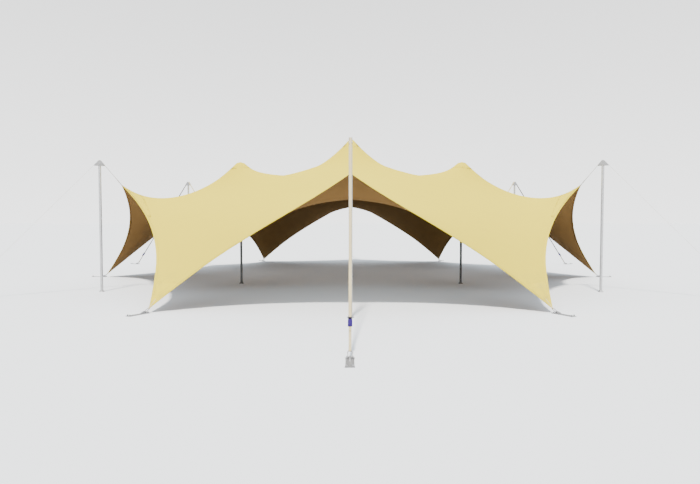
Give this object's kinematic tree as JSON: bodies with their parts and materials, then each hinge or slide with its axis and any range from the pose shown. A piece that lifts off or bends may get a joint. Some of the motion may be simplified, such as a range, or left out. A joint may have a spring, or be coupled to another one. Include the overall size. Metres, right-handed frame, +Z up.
{
  "type": "stretch tent",
  "caption": "Six-pointed stretch tent: one saddle-shaped cloth canopy over a king pole and interior poles, raised at alternate corners by guyed perimeter poles and pinned down between them.",
  "frame": {"origin": "on the floor under the king pole, the middle of the tent's footprint", "axes": "+Z up, -Y towards the front perimeter pole, +X to the right as seen from the front"},
  "size_m": [16.7892, 19.32, 3.95],
  "materials": {
    "canopy_cloth": "matt knitted stretch cloth, sand outside and brown inside",
    "pole_metal": "satin mill tube",
    "head_metal": "cast, satin",
    "galvanised_steel": "dull galvanised",
    "webbing": "woven polyester strap",
    "ratchet_paint": "satin blue-violet paint"
  },
  "bodies": {
    "tent": {"canopy_right": "canopy_cloth", "canopy_rear": "canopy_cloth", "canopy_left": "canopy_cloth", "king_pole": "pole_metal", "interior_pole_1": "pole_metal", "interior_pole_2": "pole_metal", "interior_pole_3": "pole_metal", "perimeter_pole_1": "pole_metal", "pole_head_1": "head_metal", "guy_strap_1": "webbing", "corner_link_1": "galvanised_steel", "ratchet_1": "ratchet_paint", "guy_anchor_1": "galvanised_steel", "corner_anchor_1": "galvanised_steel", "perimeter_pole_2": "pole_metal", "pole_head_2": "head_metal", "guy_strap_2": "webbing", "corner_link_2": "galvanised_steel", "ratchet_2": "ratchet_paint", "guy_anchor_2": "galvanised_steel", "corner_anchor_2": "galvanised_steel", "perimeter_pole_3": "pole_metal", "pole_head_3": "head_metal", "guy_strap_3": "webbing", "corner_link_3": "galvanised_steel", "ratchet_3": "ratchet_paint", "guy_anchor_3": "galvanised_steel", "corner_anchor_3": "galvanised_steel", "perimeter_pole_4": "pole_metal", "pole_head_4": "head_metal", "guy_strap_4": "webbing", "corner_link_4": "galvanised_steel", "ratchet_4": "ratchet_paint", "guy_anchor_4": "galvanised_steel", "corner_anchor_4": "galvanised_steel", "perimeter_pole_5": "pole_metal", "pole_head_5": "head_metal", "guy_strap_5": "webbing", "corner_link_5": "galvanised_steel", "ratchet_5": "ratchet_paint", "guy_anchor_5": "galvanised_steel", "corner_anchor_5": "galvanised_steel", "perimeter_pole_6": "pole_metal", "pole_head_6": "head_metal", "guy_strap_6": "webbing", "corner_link_6": "galvanised_steel", "ratchet_6": "ratchet_paint", "guy_anchor_6": "galvanised_steel", "corner_anchor_6": "galvanised_steel"},
    "lever_1": {"ratchet_handle_1": "ratchet_paint"},
    "lever_2": {"ratchet_handle_2": "ratchet_paint"},
    "lever_3": {"ratchet_handle_3": "ratchet_paint"},
    "lever_4": {"ratchet_handle_4": "ratchet_paint"},
    "lever_5": {"ratchet_handle_5": "ratchet_paint"},
    "lever_6": {"ratchet_handle_6": "ratchet_paint"}
  },
  "joints": [
    {"name": "ratchet_lever_1", "type": "hinge", "parent": "tent", "child": "lever_1", "pos_m": [0, -8.93304, 0.42033], "axis": [-1, 0, 0], "range_deg": [0, 150]},
    {"name": "ratchet_lever_2", "type": "hinge", "parent": "tent", "child": "lever_2", "pos_m": [7.73624, -4.46652, 0.42033], "axis": [-0.5, -0.866, 0], "range_deg": [0, 150]},
    {"name": "ratchet_lever_3", "type": "hinge", "parent": "tent", "child": "lever_3", "pos_m": [7.73624, 4.46652, 0.42033], "axis": [0.5, -0.866, 0], "range_deg": [0, 150]},
    {"name": "ratchet_lever_4", "type": "hinge", "parent": "tent", "child": "lever_4", "pos_m": [0, 8.93304, 0.42033], "axis": [1, 0, 0], "range_deg": [0, 150]},
    {"name": "ratchet_lever_5", "type": "hinge", "parent": "tent", "child": "lever_5", "pos_m": [-7.73624, 4.46652, 0.42033], "axis": [0.5, 0.866, 0], "range_deg": [0, 150]},
    {"name": "ratchet_lever_6", "type": "hinge", "parent": "tent", "child": "lever_6", "pos_m": [-7.73624, -4.46652, 0.42033], "axis": [-0.5, 0.866, 0], "range_deg": [0, 150]}
  ]
}
